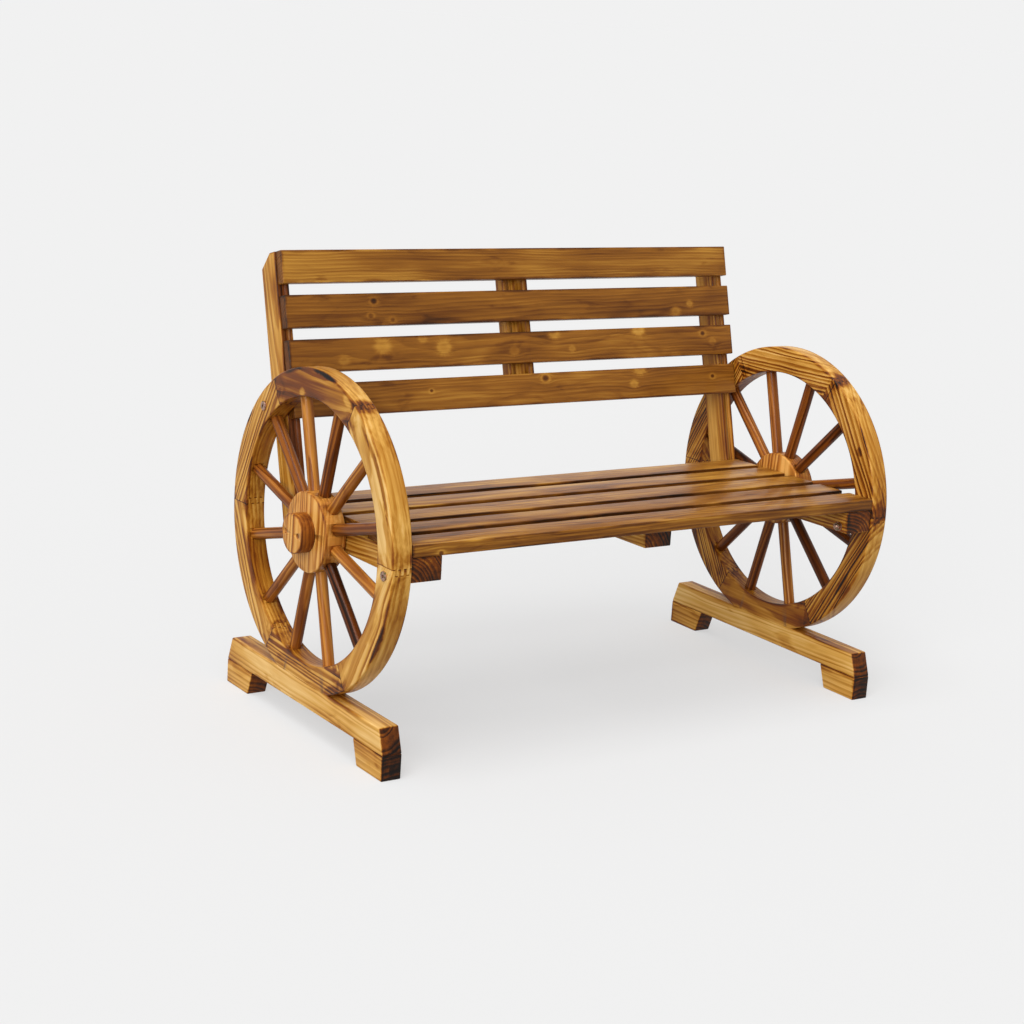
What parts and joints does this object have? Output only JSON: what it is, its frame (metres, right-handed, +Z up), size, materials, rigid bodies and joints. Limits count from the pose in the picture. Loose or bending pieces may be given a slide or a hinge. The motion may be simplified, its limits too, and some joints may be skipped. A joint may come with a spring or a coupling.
{
  "type": "garden bench",
  "caption": "Rustic garden bench whose arms are spoked wooden wagon wheels on low runners, with a slatted seat and a leaning slatted back bolted between them",
  "frame": {"origin": "the middle of the bench's footprint, on the ground", "axes": "+X to the sitter's left, which is the right as seen from the front, +Y to the back of the bench, +Z up"},
  "size_m": [1.1024, 0.5398, 0.7747],
  "materials": {
    "runner_wood": "scorched fir under clear varnish",
    "felloe_wood": "scorched fir under clear varnish",
    "spoke_wood": "turned fir rod, scorched and varnished",
    "hub_wood": "scorched fir under clear varnish",
    "seat_wood": "scorched fir under glossy varnish",
    "frame_wood": "scorched fir under clear varnish",
    "back_wood": "scorched fir under glossy varnish",
    "yellow_zinc": "yellow-passivated zinc plate",
    "screw_steel": "dull zinc-plated screws"
  },
  "bodies": {
    "root": {"left_rail": "runner_wood", "right_rail": "runner_wood", "left_front_foot": "runner_wood", "left_rear_foot": "runner_wood", "right_front_foot": "runner_wood", "right_rear_foot": "runner_wood", "left_felloe_1": "felloe_wood", "left_felloe_2": "felloe_wood", "left_felloe_3": "felloe_wood", "left_felloe_4": "felloe_wood", "left_felloe_5": "felloe_wood", "left_felloe_6": "felloe_wood", "right_felloe_1": "felloe_wood", "right_felloe_2": "felloe_wood", "right_felloe_3": "felloe_wood", "right_felloe_4": "felloe_wood", "right_felloe_5": "felloe_wood", "right_felloe_6": "felloe_wood", "left_spokes_1": "spoke_wood", "left_spokes_2": "spoke_wood", "left_spokes_3": "spoke_wood", "left_spokes_4": "spoke_wood", "left_spokes_5": "spoke_wood", "left_spokes_6": "spoke_wood", "right_spokes_1": "spoke_wood", "right_spokes_2": "spoke_wood", "right_spokes_3": "spoke_wood", "right_spokes_4": "spoke_wood", "right_spokes_5": "spoke_wood", "right_spokes_6": "spoke_wood", "left_hub": "hub_wood", "right_hub": "hub_wood", "left_hub_cap": "hub_wood", "right_hub_cap": "hub_wood", "seat_slat_1": "seat_wood", "seat_slat_2": "seat_wood", "seat_slat_3": "seat_wood", "seat_slat_4": "seat_wood", "seat_slat_5": "seat_wood", "left_beam": "frame_wood", "middle_beam": "frame_wood", "right_beam": "frame_wood", "back_slat_1": "back_wood", "back_slat_2": "back_wood", "back_slat_3": "back_wood", "back_slat_4": "back_wood", "left_post": "frame_wood", "middle_batten": "frame_wood", "right_post": "frame_wood", "wheel_bolts": "yellow_zinc", "wheel_washers": "yellow_zinc", "wheel_nuts": "yellow_zinc", "base_screws": "screw_steel", "cap_screws": "screw_steel", "seat_screws": "screw_steel", "back_screws": "screw_steel", "batten_screws": "screw_steel", "post_screws": "screw_steel"}
  },
  "joints": []
}
